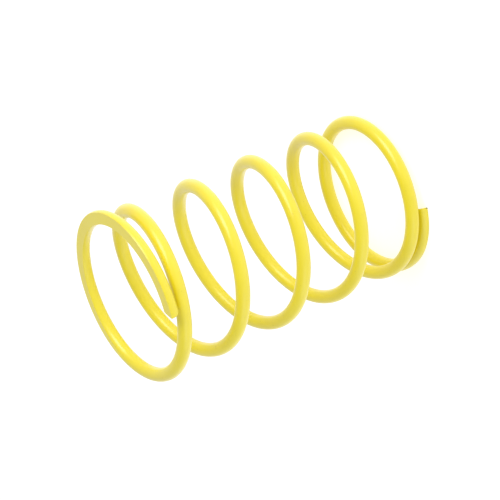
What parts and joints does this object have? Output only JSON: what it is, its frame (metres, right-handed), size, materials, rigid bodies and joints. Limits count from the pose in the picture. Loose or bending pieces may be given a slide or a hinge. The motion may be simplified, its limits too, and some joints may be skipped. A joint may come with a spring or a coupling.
{
  "type": "coil spring",
  "caption": "Left-hand helical compression spring of round yellow-coated wire, with closed, ground ends and slanting tip cuts, that pushes two flat seats apart around a hub.",
  "frame": {"origin": "on the coil's axis, level with the lower seat face", "axes": "+Z along the coil's axis, from the lower seat face to the upper one; the picture looks along +Y and down, with the upper end nearest to it"},
  "size_m": [0.0508, 0.0515, 0.0879],
  "materials": {
    "yellow_coating": "gloss"
  },
  "bodies": {
    "lower_end_coil": {"lower_end_coil": "yellow_coating"},
    "active_coil_section_01": {"active_coil_section_01": "yellow_coating"},
    "active_coil_section_02": {"active_coil_section_02": "yellow_coating"},
    "active_coil_section_03": {"active_coil_section_03": "yellow_coating"},
    "active_coil_section_04": {"active_coil_section_04": "yellow_coating"},
    "active_coil_section_05": {"active_coil_section_05": "yellow_coating"},
    "active_coil_section_06": {"active_coil_section_06": "yellow_coating"},
    "active_coil_section_07": {"active_coil_section_07": "yellow_coating"},
    "active_coil_section_08": {"active_coil_section_08": "yellow_coating"},
    "active_coil_section_09": {"active_coil_section_09": "yellow_coating"},
    "active_coil_section_10": {"active_coil_section_10": "yellow_coating"},
    "active_coil_section_11": {"active_coil_section_11": "yellow_coating"},
    "active_coil_section_12": {"active_coil_section_12": "yellow_coating"},
    "active_coil_section_13": {"active_coil_section_13": "yellow_coating"},
    "active_coil_section_14": {"active_coil_section_14": "yellow_coating"},
    "active_coil_section_15": {"active_coil_section_15": "yellow_coating"},
    "active_coil_section_16": {"active_coil_section_16": "yellow_coating"},
    "active_coil_section_17": {"active_coil_section_17": "yellow_coating"},
    "active_coil_section_18": {"active_coil_section_18": "yellow_coating"},
    "active_coil_section_19": {"active_coil_section_19": "yellow_coating"},
    "active_coil_section_20": {"active_coil_section_20": "yellow_coating"},
    "active_coil_section_21": {"active_coil_section_21": "yellow_coating"},
    "active_coil_section_22": {"active_coil_section_22": "yellow_coating"},
    "active_coil_section_23": {"active_coil_section_23": "yellow_coating"},
    "upper_end_coil": {"upper_end_coil": "yellow_coating"}
  },
  "joints": [
    {"name": "compression_01", "type": "slide", "parent": "lower_end_coil", "child": "active_coil_section_01", "axis": [0, 0, 1], "range_m": [-0.002, 0], "stiffness_N_per_m": 8000},
    {"name": "compression_02", "type": "slide", "parent": "active_coil_section_01", "child": "active_coil_section_02", "axis": [0, 0, 1], "range_m": [-0.002, 0], "stiffness_N_per_m": 8000},
    {"name": "compression_03", "type": "slide", "parent": "active_coil_section_02", "child": "active_coil_section_03", "axis": [0, 0, 1], "range_m": [-0.002, 0], "stiffness_N_per_m": 8000},
    {"name": "compression_04", "type": "slide", "parent": "active_coil_section_03", "child": "active_coil_section_04", "axis": [0, 0, 1], "range_m": [-0.002, 0], "stiffness_N_per_m": 8000},
    {"name": "compression_05", "type": "slide", "parent": "active_coil_section_04", "child": "active_coil_section_05", "axis": [0, 0, 1], "range_m": [-0.002, 0], "stiffness_N_per_m": 8000},
    {"name": "compression_06", "type": "slide", "parent": "active_coil_section_05", "child": "active_coil_section_06", "axis": [0, 0, 1], "range_m": [-0.002, 0], "stiffness_N_per_m": 8000},
    {"name": "compression_07", "type": "slide", "parent": "active_coil_section_06", "child": "active_coil_section_07", "axis": [0, 0, 1], "range_m": [-0.002, 0], "stiffness_N_per_m": 8000},
    {"name": "compression_08", "type": "slide", "parent": "active_coil_section_07", "child": "active_coil_section_08", "axis": [0, 0, 1], "range_m": [-0.002, 0], "stiffness_N_per_m": 8000},
    {"name": "compression_09", "type": "slide", "parent": "active_coil_section_08", "child": "active_coil_section_09", "axis": [0, 0, 1], "range_m": [-0.002, 0], "stiffness_N_per_m": 8000},
    {"name": "compression_10", "type": "slide", "parent": "active_coil_section_09", "child": "active_coil_section_10", "axis": [0, 0, 1], "range_m": [-0.002, 0], "stiffness_N_per_m": 8000},
    {"name": "compression_11", "type": "slide", "parent": "active_coil_section_10", "child": "active_coil_section_11", "axis": [0, 0, 1], "range_m": [-0.002, 0], "stiffness_N_per_m": 8000},
    {"name": "compression_12", "type": "slide", "parent": "active_coil_section_11", "child": "active_coil_section_12", "axis": [0, 0, 1], "range_m": [-0.002, 0], "stiffness_N_per_m": 8000},
    {"name": "compression_13", "type": "slide", "parent": "active_coil_section_12", "child": "active_coil_section_13", "axis": [0, 0, 1], "range_m": [-0.002, 0], "stiffness_N_per_m": 8000},
    {"name": "compression_14", "type": "slide", "parent": "active_coil_section_13", "child": "active_coil_section_14", "axis": [0, 0, 1], "range_m": [-0.002, 0], "stiffness_N_per_m": 8000},
    {"name": "compression_15", "type": "slide", "parent": "active_coil_section_14", "child": "active_coil_section_15", "axis": [0, 0, 1], "range_m": [-0.002, 0], "stiffness_N_per_m": 8000},
    {"name": "compression_16", "type": "slide", "parent": "active_coil_section_15", "child": "active_coil_section_16", "axis": [0, 0, 1], "range_m": [-0.002, 0], "stiffness_N_per_m": 8000},
    {"name": "compression_17", "type": "slide", "parent": "active_coil_section_16", "child": "active_coil_section_17", "axis": [0, 0, 1], "range_m": [-0.002, 0], "stiffness_N_per_m": 8000},
    {"name": "compression_18", "type": "slide", "parent": "active_coil_section_17", "child": "active_coil_section_18", "axis": [0, 0, 1], "range_m": [-0.002, 0], "stiffness_N_per_m": 8000},
    {"name": "compression_19", "type": "slide", "parent": "active_coil_section_18", "child": "active_coil_section_19", "axis": [0, 0, 1], "range_m": [-0.002, 0], "stiffness_N_per_m": 8000},
    {"name": "compression_20", "type": "slide", "parent": "active_coil_section_19", "child": "active_coil_section_20", "axis": [0, 0, 1], "range_m": [-0.002, 0], "stiffness_N_per_m": 8000},
    {"name": "compression_21", "type": "slide", "parent": "active_coil_section_20", "child": "active_coil_section_21", "axis": [0, 0, 1], "range_m": [-0.002, 0], "stiffness_N_per_m": 8000},
    {"name": "compression_22", "type": "slide", "parent": "active_coil_section_21", "child": "active_coil_section_22", "axis": [0, 0, 1], "range_m": [-0.002, 0], "stiffness_N_per_m": 8000},
    {"name": "compression_23", "type": "slide", "parent": "active_coil_section_22", "child": "active_coil_section_23", "axis": [0, 0, 1], "range_m": [-0.002, 0], "stiffness_N_per_m": 8000},
    {"name": "compression_24", "type": "slide", "parent": "active_coil_section_23", "child": "upper_end_coil", "axis": [0, 0, 1], "range_m": [-0.002, 0], "stiffness_N_per_m": 8000}
  ],
  "couplings": [
    {"joint": "compression_02", "follows": "compression_01", "ratio": 1},
    {"joint": "compression_03", "follows": "compression_01", "ratio": 1},
    {"joint": "compression_04", "follows": "compression_01", "ratio": 1},
    {"joint": "compression_05", "follows": "compression_01", "ratio": 1},
    {"joint": "compression_06", "follows": "compression_01", "ratio": 1},
    {"joint": "compression_07", "follows": "compression_01", "ratio": 1},
    {"joint": "compression_08", "follows": "compression_01", "ratio": 1},
    {"joint": "compression_09", "follows": "compression_01", "ratio": 1},
    {"joint": "compression_10", "follows": "compression_01", "ratio": 1},
    {"joint": "compression_11", "follows": "compression_01", "ratio": 1},
    {"joint": "compression_12", "follows": "compression_01", "ratio": 1},
    {"joint": "compression_13", "follows": "compression_01", "ratio": 1},
    {"joint": "compression_14", "follows": "compression_01", "ratio": 1},
    {"joint": "compression_15", "follows": "compression_01", "ratio": 1},
    {"joint": "compression_16", "follows": "compression_01", "ratio": 1},
    {"joint": "compression_17", "follows": "compression_01", "ratio": 1},
    {"joint": "compression_18", "follows": "compression_01", "ratio": 1},
    {"joint": "compression_19", "follows": "compression_01", "ratio": 1},
    {"joint": "compression_20", "follows": "compression_01", "ratio": 1},
    {"joint": "compression_21", "follows": "compression_01", "ratio": 1},
    {"joint": "compression_22", "follows": "compression_01", "ratio": 1},
    {"joint": "compression_23", "follows": "compression_01", "ratio": 1},
    {"joint": "compression_24", "follows": "compression_01", "ratio": 1}
  ]
}
